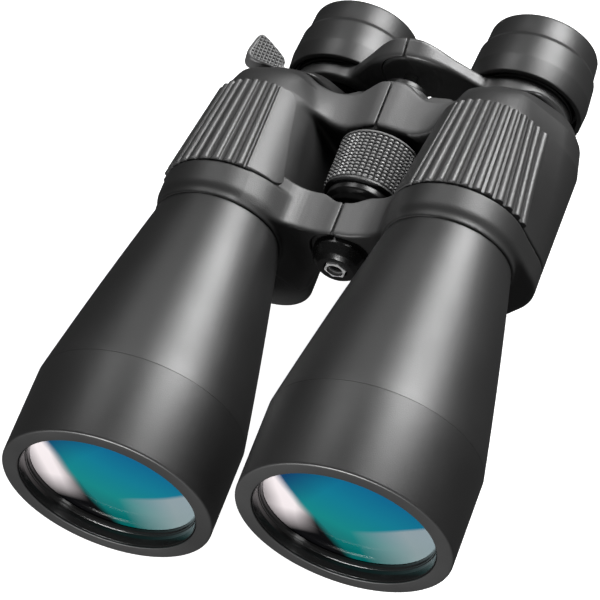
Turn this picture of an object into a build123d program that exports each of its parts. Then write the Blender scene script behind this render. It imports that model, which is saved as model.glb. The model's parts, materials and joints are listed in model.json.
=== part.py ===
"""Large Porro-prism zoom binoculars for astronomy, with 60 mm objectives, in millimetres.

Axes: +X to the side, +Y from the objectives towards the eyepieces, +Z towards the focus-wheel side.
The origin is on the hinge axis, at the mouth of the tripod socket. The object is a left half (X < 0),
a right half (X > 0) that folds about the hinge, and an eyepiece bridge that slides along the hinge.
"Front" is the objective end, "rear" is the eyepiece end.
"""
import os
from math import cos, radians, sin, sqrt

from build123d import *

# ---- driving dimensions -------------------------------------------------------------------------
OBJ_X, OBJ_Z = 44.0, 9.8                # optical axis of an objective
EYE_X, EYE_Z = 35.8, -21.1              # optical axis of an eyepiece
CLEAR_R = 30.0                          # clear radius of an objective: 60 mm aperture
BELL_R = 38.0                           # outside of the front bell
RIM_Y, CREASE_Y, NECK_Y = -109.3, -75.7, 3.4
NECK_R = 22.4                           # cone where it meets the housing
KNUCKLE_R = 12.2                        # hinge knuckles
SADDLE_R = 12.5                         # hollow of the left arms, which turns on the knuckles
WHEEL_R, WHEEL_Y = 15.0, (30.3, 51.6)
FRONT_BRIDGE, REAR_BRIDGE, EYE_BRIDGE = (7.5, 20.8), (54.3, 77.2), (87.8, 95.7)
HOUSING_Y = (7.0, 17.0, 59.0, 69.0, 77.6)   # stations along the prism housing
GRIP_Y = (17.4, 58.6)
COVER_END_Y = 83.0
EYECUP_Y = (94.5, 112.6, 123.0)         # front edge, step and rear rim
TUBE_R = 13.5                           # sliding eyepiece tube
GUIDE_R, GUIDE_Y = 15.2, (66.0, 84.8)   # guide tube that it slides in
RING_R = 17.0                           # ring of a bridge arm around its eyepiece
PRISM_SHIFT = 22.6                      # how far each prism moves the beam sideways
AXLE_R, SPINDLE_R = 4.0, 2.54           # hollow hinge axle, and the focus spindle inside it
TONGUE_R = 9.0                          # left half's tongues, inside the knuckles
NECK_HALF = 16.0                        # degrees, half a tongue's neck as seen from the hinge
LEVER_ANGLE = 27.0                      # degrees that the zoom lever stands above the horizontal
LEVER_HALF = 3.4                        # half its width, across its swing
SCREW_R, SCREW_HEAD_R = 1.0, 1.9        # rear cover's screws
COVER_SCREWS = ((44.0, 3.5), (54.0, -5.0))

RUN = 0.06                              # radial clearance of a running fit
GAP = 0.3                               # clearance between pieces that move past each other
WALL = 2.4
LIP_GAP = 0.4                           # from the centre plane to the lip of each arm
HINGE_OPEN, HINGE_CLOSE = 1.0, 34.0     # degrees the right half turns each way from rest

os.makedirs("parts", exist_ok=True)


# ---- helpers ------------------------------------------------------------------------------------
def on_y(y):
    """Plane across the Y axis: its x is +X, its y is +Z, and it extrudes towards +Y when negative."""
    return Plane(origin=(0, y, 0), x_dir=(1, 0, 0), z_dir=(0, -1, 0))


def turned(points, x=0.0, z=0.0):
    """Solid of revolution about the line (x, z) along Y, from (radius, y) points."""
    return Pos(x, 0, z) * revolve(make_face(Polyline(*points, close=True)), Axis.Y)


def tube(r_out, r_in, y0, y1, x=0.0, z=0.0):
    """Ring or, with r_in 0, a disc between two stations on a line along Y."""
    return turned([(r_in, y0), (r_out, y0), (r_out, y1), (r_in, y1)], x, z)


def slab(face, y0, y1):
    """A flat outline, drawn as X and Z, made into a plate from y0 to y1."""
    return on_y(y0) * extrude(face, -(y1 - y0))


def outline(*points):
    return make_face(Polyline(*points, close=True))


def hull(circles):
    """Convex outline around circles, each (x, z, radius)."""
    return make_hull([e for x, z, r in circles for e in (Pos(x, z) * Circle(r)).edges()])


def lens(r, y_front, y_rear, bulge_front, bulge_rear, x, z):
    """Round lens with an edge from y_front to y_rear; a positive bulge stands out of the edge."""
    rim_front, rim_rear = (r, y_front), (r, y_rear)
    tip_front, tip_rear = (0, y_front - bulge_front), (0, y_rear + bulge_rear)
    edges = [Line(tip_front, tip_rear), Line(rim_front, rim_rear)]
    faces = ((tip_front, rim_front, bulge_front, -1), (tip_rear, rim_rear, bulge_rear, 1))
    for tip, rim, bulge, side in faces:
        mid = (r / 2, rim[1] + side * bulge * 0.75)
        edges.append(ThreePointArc(tip, mid, rim) if bulge else Line(tip, rim))
    return Pos(x, 0, z) * revolve(make_face(edges), Axis.Y)


def other_side(shape):
    return mirror(shape, about=Plane.YZ)


def pair(name, shape):
    """The same piece on both halves: the right one as drawn, the left one mirrored."""
    save(name + "_right", shape)
    save(name + "_left", other_side(shape))


def save(name, shape):
    export_step(shape, f"parts/{name}.step")


# ---- objective end ------------------------------------------------------------------------------
LIP_Y = RIM_Y + 4.9                     # rear face of the bell's inward lip
LIP_R = 31.9
SLEEVE_R = 35.0                         # bell over barrel
CELL_R = 33.0
LENS_R = 31.0
SEAT_Y = (LIP_Y, LIP_Y + 1.5, LIP_Y + 6.5, LIP_Y + 13.5, LIP_Y + 15.5)   # ring, crown, flint, cell end
SPIGOT_R, SPIGOT_END = 19.0, 9.4        # barrel's spigot in the housing


def front_bell():
    """Rubber-coated sleeve over the front of the barrel, with a lip around the lens opening."""
    rounding = 1.2
    bell = turned([(LIP_R + 1.5, RIM_Y), (BELL_R, RIM_Y), (BELL_R, CREASE_Y), (SLEEVE_R, CREASE_Y),
                   (SLEEVE_R, LIP_Y), (LIP_R, LIP_Y), (LIP_R, RIM_Y + 1.5)], OBJ_X, OBJ_Z)
    rim = bell.edges().filter_by(GeomType.CIRCLE).group_by(SortBy.RADIUS)[-1].sort_by(Axis.Y)[0]
    return fillet(rim, rounding)


def objective_barrel():
    """Tapering barrel: a sleeve under the bell, the long cone, and a spigot in the housing."""
    outer = [Line((SLEEVE_R, LIP_Y), (SLEEVE_R, CREASE_Y)),
             Line((SLEEVE_R, CREASE_Y), (BELL_R, CREASE_Y)),
             ThreePointArc((BELL_R, CREASE_Y), ((BELL_R + NECK_R) / 2 + 0.4, (CREASE_Y + NECK_Y) / 2),
                           (NECK_R, NECK_Y))]
    rest = Polyline((NECK_R, NECK_Y), (SPIGOT_R, NECK_Y), (SPIGOT_R, SPIGOT_END), (17.0, SPIGOT_END),
                    (17.0, NECK_Y), (NECK_R - 2.4, NECK_Y - 4), (BELL_R - 2.4, CREASE_Y + 2.4),
                    (CELL_R - 1.4, CREASE_Y - 4), (CELL_R - 1.4, SEAT_Y[4]),
                    (CELL_R, SEAT_Y[4]), (CELL_R, LIP_Y), (SLEEVE_R, LIP_Y))
    return Pos(OBJ_X, 0, OBJ_Z) * revolve(make_face(outer + list(rest.edges())), Axis.Y)


def objective_cell():
    """Metal cell that holds the doublet against its rear lip."""
    return turned([(CELL_R, SEAT_Y[1]), (CELL_R, SEAT_Y[4]), (29.2, SEAT_Y[4]), (29.2, SEAT_Y[3]),
                   (LENS_R, SEAT_Y[3]), (LENS_R, SEAT_Y[1])], OBJ_X, OBJ_Z)


pair("front_bell", front_bell())
pair("objective_barrel", objective_barrel())
pair("objective_cell", objective_cell())
pair("retaining_ring", tube(CELL_R, CLEAR_R, SEAT_Y[0], SEAT_Y[1], OBJ_X, OBJ_Z))
pair("crown_lens", lens(LENS_R, SEAT_Y[1] + 0.15, SEAT_Y[2], 1.8, 3.2, OBJ_X, OBJ_Z))
pair("flint_lens", lens(LENS_R, SEAT_Y[2], SEAT_Y[3], -3.2, 0.0, OBJ_X, OBJ_Z))

# ---- prism housing ------------------------------------------------------------------------------
TOP_R = (24.5, 24.5, 18.6, 15.0, 5.5)  # around the objective axis, at each station
OUTER_X, OUTER_Z = 49.5, -6.0           # centre of the outer lobe
OUTER_R = (21.0, 21.0, 21.5, 19.5, 14.0)
EYE_LOBE_R = (17.0, 17.0, 17.0, 17.0, 16.8)
GRIP_THICK, GRIP_PROUD = 2.0, 0.6
GRIP_INNER, GRIP_OUTER = -66.0, 80.0    # degrees from the top, towards the hinge and away from it


def lobes(station, inset):
    """The three circles that a housing section is drawn around."""
    return [(OBJ_X, OBJ_Z, TOP_R[station] - inset),
            (OUTER_X, OUTER_Z, OUTER_R[station] - inset),
            (EYE_X, EYE_Z, EYE_LOBE_R[station] - inset)]


def housing_block(inset, shift_front=0.0, shift_rear=0.0):
    """The housing's form through its stations, made smaller all round by an inset."""
    last = len(HOUSING_Y) - 1
    sections = []
    for station in range(last + 1):
        y = HOUSING_Y[station]
        y += shift_front if station == 0 else shift_rear if station == last else 0
        sections.append(on_y(y) * hull(lobes(station, inset)))
    return loft(sections, ruled=True)


def grip_band(r_add, r_depth):
    """Part of a cone around the objective axis, over the top of the housing."""
    r0, r1 = TOP_R[1] + r_add, TOP_R[2] + r_add
    face = outline((r0 - r_depth, GRIP_Y[0]), (r0, GRIP_Y[0]), (r1, GRIP_Y[1]), (r1 - r_depth, GRIP_Y[1]))
    sweep_angle = GRIP_OUTER - GRIP_INNER
    band = revolve(face, Axis.Y, sweep_angle)           # from +X, turning towards -Z
    return Pos(OBJ_X, 0, OBJ_Z) * Rot(0, GRIP_INNER - 90, 0) * band


def top_radius(y):
    """Radius of the housing's top around the objective axis, between its stations."""
    for y0, y1, r0, r1 in zip(HOUSING_Y, HOUSING_Y[1:], TOP_R, TOP_R[1:]):
        if y <= y1:
            return r0 + (r1 - r0) * (y - y0) / (y1 - y0)
    return TOP_R[-1]


def on_top(r, angle):
    """Point at a radius from the objective axis, in degrees from the top towards the hinge."""
    return OBJ_X - r * sin(radians(angle)), OBJ_Z + r * cos(radians(angle))


def arm_section(y):
    """Arm from the housing to the hinge: a saddle above, a hollow curve below."""
    root, shoulder = on_top(top_radius(y) - 1.0, 38), on_top(top_radius(y) + 0.2, 64)
    top = Spline(root, shoulder, (10.5, 12.4), (3.4, 12.6), (0.0, 12.9))
    lower = Spline((24.0, -24.0), (17.6, -19.5), (12.5, -13.4), (5.0, -11.9))
    return make_face([top, Line((0.0, 12.9), (0.0, 0.0)), Line((0.0, 0.0), (5.0, -11.9)), lower,
                      Line((24.0, -24.0), root)])


def arm(y_range):
    """Solid arm over its stretch of the hinge, following the housing's taper."""
    return loft([on_y(y) * arm_section(y) for y in y_range], ruled=True)


def window(y0, y1):
    """Opening in a knuckle's left side, as wide as the tongue's neck needs over the hinge's travel."""
    low, high = radians(-(HINGE_CLOSE + NECK_HALF + 2)), radians(HINGE_OPEN + NECK_HALF + 2)
    far = 20.0
    corners = [(0, 0)] + [(-far * cos(a), far * sin(a)) for a in (low, (low + high) / 2, high)]
    return slab(outline(*corners), y0, y1)


def lip_trim(y0, y1, gap):
    """What a right arm loses above the hinge, so that the two arms' lips stay clear when opened."""
    return slab(outline((-20, 1), (gap, 1), (gap, 20), (-20, 20)), y0 - 1, y1 + 1)


def tongue_layer(y_range):
    """The middle 30 percent of a knuckle, where the left half's tongue turns."""
    y0, y1 = y_range
    each_side = (y1 - y0) * 0.35
    return y0 + each_side, y1 - each_side


def right_hinge(y_range):
    """Knuckle of the right half with its slot, plus its arm."""
    y0, y1 = tongue_layer(y_range)
    body = arm(y_range) - lip_trim(*y_range, LIP_GAP) + tube(KNUCKLE_R, 0, *y_range)
    body -= tube(TONGUE_R + GAP, 0, y0 - GAP, y1 + GAP) + window(y0 - GAP, y1 + GAP)
    return body - tube(AXLE_R + RUN, 0, y_range[0] - 1, y_range[1] + 1)


def left_hinge(y_range):
    """Arm of the left half, hollowed around the knuckle, with the tongue that goes inside it."""
    y0, y1 = tongue_layer(y_range)
    body = other_side(arm(y_range)) - tube(SADDLE_R, 0, y_range[0] - 1, y_range[1] + 1)
    neck_z = SADDLE_R * sin(radians(NECK_HALF)) * 0.9
    neck = slab(outline((-SADDLE_R - 1, -neck_z), (-5, -neck_z * 0.4), (-5, neck_z * 0.4),
                        (-SADDLE_R - 1, neck_z)), y0, y1)
    body += neck + tube(TONGUE_R, 0, y0, y1)
    for layer in ((y_range[0], y0), (y1, y_range[1])):
        body -= other_side(lip_trim(*layer, LIP_GAP))
    return body - tube(AXLE_R, 0, y_range[0] - 1, y_range[1] + 1)


def housing_shell():
    """Hollow prism housing without its hinge arms: open at the rear, with a bore for the barrel."""
    shell = housing_block(0.0) + tube(TOP_R[0], 0, NECK_Y, HOUSING_Y[0] + 1, OBJ_X, OBJ_Z)
    shell -= housing_block(WALL, shift_front=WALL, shift_rear=1.0)
    shell -= tube(SPIGOT_R, 0, NECK_Y - 1, HOUSING_Y[0] + WALL + 2, OBJ_X, OBJ_Z)
    shell -= tube(GUIDE_R, 0, GUIDE_Y[0], HOUSING_Y[-1] + 1, EYE_X, EYE_Z)
    return shell - grip_band(GRIP_PROUD, GRIP_THICK)


def hinge_arm(hinge_part, y_range):
    """One hinge arm, cut where it meets the outside of the housing and the grip panel."""
    housing = housing_block(0.0) + tube(TOP_R[0], 0, NECK_Y, HOUSING_Y[0] + 1, OBJ_X, OBJ_Z)
    housing += grip_band(GRIP_PROUD, GRIP_THICK)
    if hinge_part is left_hinge:
        housing = other_side(housing)
    return hinge_part(y_range) - housing


def rear_cover():
    """Plate that closes the housing behind the prisms and carries the eyepiece's guide tube."""
    front = on_y(HOUSING_Y[4]) * hull(lobes(4, 0.0))
    rear_circles = [(OBJ_X, 3.0, 5.0), (OUTER_X - 3, OUTER_Z, 10.0), (EYE_X, EYE_Z, 16.6)]
    rear = on_y(COVER_END_Y) * hull(rear_circles)
    cover = loft([front, rear], ruled=True)
    cover -= tube(GUIDE_R, 0, HOUSING_Y[4] - 1, COVER_END_Y + 1, EYE_X, EYE_Z)
    for x, z in COVER_SCREWS:
        cover -= tube(SCREW_R, 0, HOUSING_Y[4] - 1, COVER_END_Y + 1, x, z)
        cover -= tube(SCREW_HEAD_R, 0, COVER_END_Y - 3.5, COVER_END_Y + 3, x, z)
    return cover


def cover_screws():
    """Two small screws that hold the rear cover."""
    return [tube(SCREW_HEAD_R, 0, COVER_END_Y - 3.5, COVER_END_Y - 2.2, x, z)
            + tube(SCREW_R, 0, HOUSING_Y[4], COVER_END_Y - 3.5, x, z) for x, z in COVER_SCREWS]


pair("prism_housing", housing_shell())
for name, y_range in (("front_arm", FRONT_BRIDGE), ("rear_arm", REAR_BRIDGE)):
    save(name + "_right", hinge_arm(right_hinge, y_range))
    save(name + "_left", hinge_arm(left_hinge, y_range))
pair("grip_panel", grip_band(GRIP_PROUD, GRIP_THICK))
pair("rear_cover", rear_cover())
pair("cover_screws", Compound(children=cover_screws()))

# ---- prisms -------------------------------------------------------------------------------------
SHELF_Y = (33.4, 35.4)
PRISM_W = 18.0
PRISM_END_R = 20.5                      # ends of the prisms are ground round
FIRST = ((OBJ_X, OBJ_Z), (55.3, -9.7))  # beam into and out of the first prism
SECOND = ((55.3, -9.7), (EYE_X, EYE_Z))


def prism(ends, y_face, towards, grow=0.0, width=PRISM_W, end_r=PRISM_END_R):
    """Right-angle prism whose long face lies at y_face and whose edge points along Y."""
    (x0, z0), (x1, z1) = ends
    length = sqrt((x1 - x0) ** 2 + (z1 - z0) ** 2)
    along = Vector((x1 - x0) / length, 0, (z1 - z0) / length)
    centre = ((x0 + x1) / 2, (z0 + z1) / 2)
    reach = PRISM_SHIFT + grow * 2
    across = along.cross(Vector(0, towards, 0))
    plane = Plane(origin=(centre[0], y_face, centre[1]), x_dir=along, z_dir=across)
    triangle = plane * make_face(Polyline((-reach, 0), (reach, 0), (0, reach), close=True))
    body = extrude(triangle, width / 2, both=True)
    ends_round = tube(end_r, 0, y_face - 40, y_face + 40, *centre)
    return body & ends_round


def prism_clip(ends, y_face, towards):
    """Spring strap over a prism's edge, down to the shelf on both sides."""
    strap = prism(ends, y_face, towards, grow=0.5, width=5.0)
    return strap - prism(ends, y_face, towards, width=30.0, end_r=30.0)


def prism_shelf():
    """Plate between the two prisms, with holes where the beam passes."""
    plate = slab(hull([(OBJ_X, OBJ_Z, 18.6), (OUTER_X, OUTER_Z, 17.6), (EYE_X, EYE_Z, 14.0)]), *SHELF_Y)
    for x, z in (FIRST[0], FIRST[1], SECOND[1]):
        plate -= tube(7.5, 0, SHELF_Y[0] - 1, SHELF_Y[1] + 1, x, z)
    return plate


pair("prism_shelf", prism_shelf())
pair("rear_prism", prism(FIRST, SHELF_Y[1], 1))
pair("front_prism", prism(SECOND, SHELF_Y[0], -1))
clips = [prism_clip(FIRST, SHELF_Y[1], 1), prism_clip(SECOND, SHELF_Y[0], -1)]
pair("prism_clips", Compound(children=clips))

# ---- eyepieces ----------------------------------------------------------------------------------
RING_Y = (88.9, 94.4)
ZOOM_RING_Y = (95.0, 98.4)
ZOOM_RING_R = 18.6
HEAD_Y = (100.6, 117.5)
EYE_LENS_R = 11.5
HEAD_R = 18.0
TUBE_END_Y = 109.5
SLEEVE_DIOPTER_R = 15.0
CELL_ZOOM_R = 12.0


def eyecup():
    """Rubber cup in two steps, with an overhanging skirt at its front edge."""
    front, step, rim = EYECUP_Y
    cup = turned([(20.3, front), (22.3, front), (22.8, front + 7.5), (21.8, step), (20.5, step + 0.8),
                  (20.4, rim), (17.5, rim), (17.5, HEAD_Y[1]), (HEAD_R, HEAD_Y[1]), (HEAD_R, HEAD_Y[0]),
                  (20.3, HEAD_Y[0])], EYE_X, EYE_Z)
    edge = cup.edges().filter_by(GeomType.CIRCLE).group_by(Axis.Y)[-1].sort_by(SortBy.RADIUS)[-1]
    return fillet(edge, 2.0)


def ocular_head(bore_r):
    """Head that screws on the eyepiece tube and holds the eye lens and the cup."""
    return turned([(bore_r, HEAD_Y[0]), (HEAD_R, HEAD_Y[0]), (HEAD_R, HEAD_Y[1]), (10.2, HEAD_Y[1]),
                   (10.2, HEAD_Y[1] - 1.5), (EYE_LENS_R, HEAD_Y[1] - 1.5),
                   (EYE_LENS_R, TUBE_END_Y + 0.5), (bore_r, TUBE_END_Y + 0.5)], EYE_X, EYE_Z)


def zoom_ring():
    return tube(ZOOM_RING_R, TUBE_R + RUN, *ZOOM_RING_Y, EYE_X, EYE_Z)


def bridge_arm():
    """Outline of an eyepiece-bridge arm, from the centre to the ring around the eyepiece."""
    top = Spline((0.0, 12.9), (6.5, 11.2), (16.0, 3.6), (27.0, -5.6), (EYE_X, EYE_Z + RING_R))
    lower = Spline((EYE_X - 14.7, EYE_Z - 8.5), (14.5, -16.5), (5.0, -11.9))
    return make_face([top, Line((EYE_X, EYE_Z + RING_R), (EYE_X, EYE_Z)),
                      Line((EYE_X, EYE_Z), (EYE_X - 14.7, EYE_Z - 8.5)), lower,
                      Line((5.0, -11.9), (0.0, 0.0)), Line((0.0, 0.0), (0.0, 12.9))])


def bridge_right():
    """Right bridge arm: its knuckle turns on the spindle's tongue as the binoculars fold."""
    y0, y1 = tongue_layer(EYE_BRIDGE)
    body = slab(bridge_arm(), *RING_Y) - lip_trim(*RING_Y, LIP_GAP)
    body += tube(KNUCKLE_R, 0, *EYE_BRIDGE) + tube(RING_R, 0, *RING_Y, EYE_X, EYE_Z)
    body -= tube(TONGUE_R + GAP, 0, y0 - GAP, y1 + GAP) + window(y0 - GAP, y1 + GAP)
    body -= tube(SPINDLE_R + RUN, 0, EYE_BRIDGE[0] - 1, EYE_BRIDGE[1] + 1)
    return body - tube(TUBE_R, 0, RING_Y[0] - 1, RING_Y[1] + 1, EYE_X, EYE_Z)


def bridge_left():
    """Left bridge arm, fixed to the spindle by its tongue."""
    y0, y1 = tongue_layer(EYE_BRIDGE)
    body = other_side(slab(bridge_arm(), *RING_Y) + tube(RING_R, 0, *RING_Y, EYE_X, EYE_Z))
    body -= tube(SADDLE_R, 0, RING_Y[0] - 1, RING_Y[1] + 1)
    neck_z = SADDLE_R * sin(radians(NECK_HALF)) * 0.9
    body += slab(outline((-SADDLE_R - 1, -neck_z), (-5, -neck_z * 0.4), (-5, neck_z * 0.4),
                         (-SADDLE_R - 1, neck_z)), y0, y1) + tube(TONGUE_R, 0, y0, y1)
    for layer in ((RING_Y[0], y0), (y1, RING_Y[1])):
        body -= other_side(lip_trim(*layer, LIP_GAP))
    body -= tube(SPINDLE_R, 0, RING_Y[0] - 1, RING_Y[1] + 1)
    return body - tube(TUBE_R, 0, RING_Y[0] - 1, RING_Y[1] + 1, -EYE_X, EYE_Z)


def zoom_lever():
    """Thumb lever on the left zoom ring: a foot inside the skirt, an arm under it and a raised tab."""
    foot_r, inner_r, tip_r = 18.0, 24.0, 39.0
    side = outline((foot_r, ZOOM_RING_Y[1] - 0.4), (foot_r, 91.2), (26.0, 91.2), (tip_r - 2.2, 91.4),
                   (tip_r, 93.4), (tip_r - 0.4, 97.0), (tip_r - 1.8, 104.2), (tip_r - 4.8, 104.0),
                   (inner_r + 1.0, 98.4), (inner_r, 97.6), (inner_r, 94.0), (19.5, 94.0),
                   (19.5, ZOOM_RING_Y[1] - 0.4))
    body = extrude(side, LEVER_HALF, both=True)         # drawn pointing along +X
    body -= tube(ZOOM_RING_R, 0, 80, 110)
    return Pos(-EYE_X, 0, EYE_Z) * Rot(0, -(180 - LEVER_ANGLE), 0) * body


pair("guide_tube", tube(GUIDE_R, TUBE_R + RUN, *GUIDE_Y, EYE_X, EYE_Z))
pair("eyepiece_tube", tube(TUBE_R, CELL_ZOOM_R, 70.0, TUBE_END_Y, EYE_X, EYE_Z))
pair("field_lens", lens(CELL_ZOOM_R, 73.5, 76.0, 1.2, 1.2, EYE_X, EYE_Z))
pair("zoom_cell", tube(CELL_ZOOM_R - RUN, 9.0, 84.0, 90.0, EYE_X, EYE_Z))
pair("zoom_lens", lens(9.0, 85.5, 88.5, 1.0, 1.0, EYE_X, EYE_Z))
pair("zoom_ring", zoom_ring())
pair("eye_lens", lens(EYE_LENS_R, 111.8, HEAD_Y[1] - 1.7, 1.2, 0.8, EYE_X, EYE_Z))
pair("eyecup", eyecup())
save("ocular_head_left", other_side(ocular_head(TUBE_R)))
save("ocular_head_right", ocular_head(SLEEVE_DIOPTER_R + RUN))
save("diopter_sleeve", tube(SLEEVE_DIOPTER_R, TUBE_R + RUN, HEAD_Y[0], 109.0, EYE_X, EYE_Z))
save("zoom_lever", zoom_lever())
save("eyepiece_bridge_right", bridge_right())
save("eyepiece_bridge_left", bridge_left())

# ---- hinge axle and focus drive -----------------------------------------------------------------
HUB_Y = (24.0, 52.4)
PIN_Y, PIN_R = 41.0, 1.2
FOCUS_TRAVEL = 3.5
PIN_REACH = FOCUS_TRAVEL + PIN_R + GAP  # half the room for the pin's travel
AXLE_Y = (10.7, 81.0)
CAP_Y = 7.2                             # back of the tripod cap
INSERT_R = 4.25                         # hexagon's corners
THREAD_R, THREAD_DEPTH = 2.6, 9.5       # minor diameter of the 1/4-20 tripod thread


def tripod_cap():
    """Round black boss over the front of the hinge, with a hexagonal seat for the threaded insert."""
    cap = turned([(0, 0.0), (6.6, 0.0), (8.4, 1.4), (10.2, 4.6), (10.2, CAP_Y), (0, CAP_Y)])
    return cap - slab(RegularPolygon(INSERT_R, 6), -1, 8)


def tripod_insert():
    """Hexagonal steel insert with the tripod thread, shown at its minor diameter."""
    insert = slab(RegularPolygon(INSERT_R, 6), 0, CAP_Y) + tube(AXLE_R, 0, CAP_Y, AXLE_Y[0])
    return insert - tube(THREAD_R, 0, -1, THREAD_DEPTH)


def hinge_axle():
    """Hollow axle that both halves turn on; two slots let the drive pin move along it."""
    axle = tube(AXLE_R, SPINDLE_R + RUN, *AXLE_Y)
    return axle - Pos(0, PIN_Y, 0) * Box(12, 2 * PIN_REACH, 2 * (PIN_R + GAP))


def focus_hub():
    """Dark hub of the focus wheel, with the inner groove that moves the drive pin."""
    hub = turned([(AXLE_R + RUN, HUB_Y[0]), (10.6, HUB_Y[0]), (13.0, HUB_Y[0] + 3.0), (13.0, HUB_Y[1]),
                  (AXLE_R + RUN, HUB_Y[1])])
    return hub - tube(7.0, 0, PIN_Y - PIN_REACH, PIN_Y + PIN_REACH)


def drive_pin(length):
    """Cross pin through the spindle, which the hub's groove moves along the axle."""
    return Pos(0, PIN_Y, 0) * Rot(0, 90, 0) * Cylinder(PIN_R, length)


save("tripod_cap", tripod_cap())
save("tripod_insert", tripod_insert())
save("hinge_axle", hinge_axle())
save("hinge_nut", tube(8.5, AXLE_R, REAR_BRIDGE[1] + GAP, AXLE_Y[1]))
save("focus_hub", focus_hub())
save("focus_grip_ring", tube(WHEEL_R, 13.0, *WHEEL_Y))
save("focus_spindle", tube(SPINDLE_R, 0, 32.0, 96.0) - drive_pin(20.0))
save("focus_drive_pin", drive_pin(12.4))
save("bridge_screw", tube(6.0, 0, 96.0, 98.0))
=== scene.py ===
import json
from math import cos, pi, radians, sin

import bpy
import numpy as np
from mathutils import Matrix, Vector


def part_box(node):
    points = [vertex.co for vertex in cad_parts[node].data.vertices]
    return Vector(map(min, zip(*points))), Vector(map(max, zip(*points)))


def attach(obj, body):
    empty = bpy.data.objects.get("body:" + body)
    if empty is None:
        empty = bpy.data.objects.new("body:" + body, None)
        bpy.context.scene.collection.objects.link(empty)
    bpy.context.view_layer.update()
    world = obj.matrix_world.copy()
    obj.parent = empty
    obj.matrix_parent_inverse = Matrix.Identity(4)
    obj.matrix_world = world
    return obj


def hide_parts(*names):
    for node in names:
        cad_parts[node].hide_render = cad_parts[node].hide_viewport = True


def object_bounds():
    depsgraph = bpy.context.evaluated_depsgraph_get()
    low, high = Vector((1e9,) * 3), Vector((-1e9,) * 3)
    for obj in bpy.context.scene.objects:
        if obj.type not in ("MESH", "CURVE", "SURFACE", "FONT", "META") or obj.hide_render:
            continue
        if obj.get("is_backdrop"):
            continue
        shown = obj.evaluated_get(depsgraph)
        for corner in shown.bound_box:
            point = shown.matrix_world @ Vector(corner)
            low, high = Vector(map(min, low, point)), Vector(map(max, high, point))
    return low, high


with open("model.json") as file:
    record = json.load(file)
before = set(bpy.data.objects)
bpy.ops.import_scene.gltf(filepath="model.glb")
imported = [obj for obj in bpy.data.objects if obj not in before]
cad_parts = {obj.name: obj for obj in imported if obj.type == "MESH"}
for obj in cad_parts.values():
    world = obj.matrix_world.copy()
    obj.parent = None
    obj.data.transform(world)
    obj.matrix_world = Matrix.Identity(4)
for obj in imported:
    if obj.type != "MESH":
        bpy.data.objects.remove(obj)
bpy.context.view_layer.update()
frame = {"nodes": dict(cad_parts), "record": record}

import openvdb
from mathutils import Matrix, Vector

MM = 0.001
SIDES = (("left", True), ("right", False))      # name, and whether the piece is mirrored
HALF = {"left": "left_half", "right": "right_half"}
ARM = {"left": "focus_carriage", "right": "right_eyepiece"}
OCULAR = {"left": "focus_carriage", "right": "right_ocular"}
ZOOM = {"left": "left_zoom", "right": "right_zoom"}


# ---- places, from the frame ---------------------------------------------------------------------
class Round:
    """Axis, stations and radius, in mm, of a CAD node that is round about a line along Y."""

    def __init__(self, node):
        lo, hi = (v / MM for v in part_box(node))
        self.x, self.z = (lo.x + hi.x) / 2, (lo.z + hi.z) / 2
        self.y0, self.y1 = lo.y, hi.y
        self.r = (hi.x - lo.x) / 2


BELL = Round("front_bell_right")
BEZEL = Round("retaining_ring_right")
LENS = Round("crown_lens_right")
TUBE = Round("eyepiece_tube_right")
GUIDE = Round("guide_tube_right")
CUP = Round("eyecup_right")
HEAD = Round("ocular_head_right")
ZRING = Round("zoom_ring_right")
WHEEL = Round("focus_grip_ring")
HUB = Round("focus_hub")
BOSS = Round("tripod_cap")
NUT = Round("hinge_nut")
BRIDGE_SCREW = Round("bridge_screw")
EYE_LENS = Round("eye_lens_right")
HOUSE_LO, HOUSE_HI = (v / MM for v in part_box("prism_housing_right"))
COVER_LO, COVER_HI = (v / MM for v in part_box("rear_cover_right"))
FRONT_LO, FRONT_HI = (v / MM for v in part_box("front_arm_right"))
REAR_LO, REAR_HI = (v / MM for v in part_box("rear_arm_right"))
BRIDGE_LO, BRIDGE_HI = (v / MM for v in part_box("eyepiece_bridge_right"))
GRIP_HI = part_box("grip_panel_right")[1] / MM
OBJ = (BELL.x, BELL.z)
EYE = (CUP.x, CUP.z)


# ---- materials ----------------------------------------------------------------------------------
def linear(v):
    """Linear value of a grey given as it looks on the screen, 0 to 1."""
    return v / 12.92 if v <= 0.04045 else ((v + 0.055) / 1.055) ** 2.4


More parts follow.
